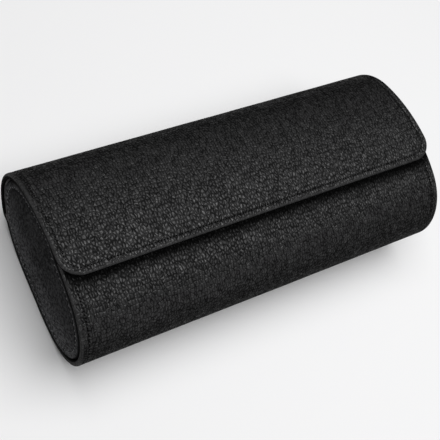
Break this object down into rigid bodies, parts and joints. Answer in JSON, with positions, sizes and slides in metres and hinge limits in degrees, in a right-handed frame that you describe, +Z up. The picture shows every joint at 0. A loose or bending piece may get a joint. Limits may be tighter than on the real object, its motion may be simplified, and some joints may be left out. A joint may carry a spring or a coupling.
{
  "type": "watch travel case",
  "caption": "Oval leather-covered travel case for wristwatches, with a wrap-over flap and padded ends, lying on its back with the flap closed.",
  "frame": {"origin": "middle of the flat strip on the back, on which the case rests", "axes": "+X along the case, +Y towards the hinge side, +Z up through the front that the flap closes over"},
  "size_m": [0.2018, 0.0924, 0.0656],
  "materials": {
    "leather": "pebbled black leather, semi-matt",
    "nubuck": "black nubuck, matt",
    "lining_suede": "mid-grey suede, matt",
    "cushion_suede": "mid-grey suede, matt",
    "board": "grey bookbinder's board",
    "foam": "open-cell foam",
    "steel": "nickel-plated"
  },
  "bodies": {
    "case": {"case_leather": "leather", "case_board": "board", "case_lining": "lining_suede", "hinge_leather": "leather", "left_end_cover": "nubuck", "left_end_foam": "foam", "left_end_board": "board", "left_end_lining": "lining_suede", "right_end_cover": "nubuck", "right_end_foam": "foam", "right_end_board": "board", "right_end_lining": "lining_suede", "left_divider_cover": "lining_suede", "left_divider_board": "board", "right_divider_cover": "lining_suede", "right_divider_board": "board", "keeper_plates": "steel"},
    "flap": {"flap_leather": "leather", "flap_board": "board", "flap_lining": "lining_suede", "flap_magnets": "steel"},
    "left_cushion": {"left_cushion_cover": "cushion_suede", "left_cushion_foam": "foam", "left_cushion_ends": "cushion_suede"},
    "middle_cushion": {"middle_cushion_cover": "cushion_suede", "middle_cushion_foam": "foam", "middle_cushion_ends": "cushion_suede"},
    "right_cushion": {"right_cushion_cover": "cushion_suede", "right_cushion_foam": "foam", "right_cushion_ends": "cushion_suede"}
  },
  "joints": [
    {"name": "flap_hinge", "type": "hinge", "parent": "case", "child": "flap", "pos_m": [0, 0.03923, 0.0122], "axis": [-1, 0, 0], "range_deg": [0, 105]},
    {"name": "left_cushion_slide", "type": "slide", "parent": "case", "child": "left_cushion", "axis": [0, 0.7431, 0.6691], "range_m": [0, 0.014]},
    {"name": "middle_cushion_slide", "type": "slide", "parent": "case", "child": "middle_cushion", "axis": [0, 0.7431, 0.6691], "range_m": [0, 0.014]},
    {"name": "right_cushion_slide", "type": "slide", "parent": "case", "child": "right_cushion", "axis": [0, 0.7431, 0.6691], "range_m": [0, 0.014]}
  ]
}
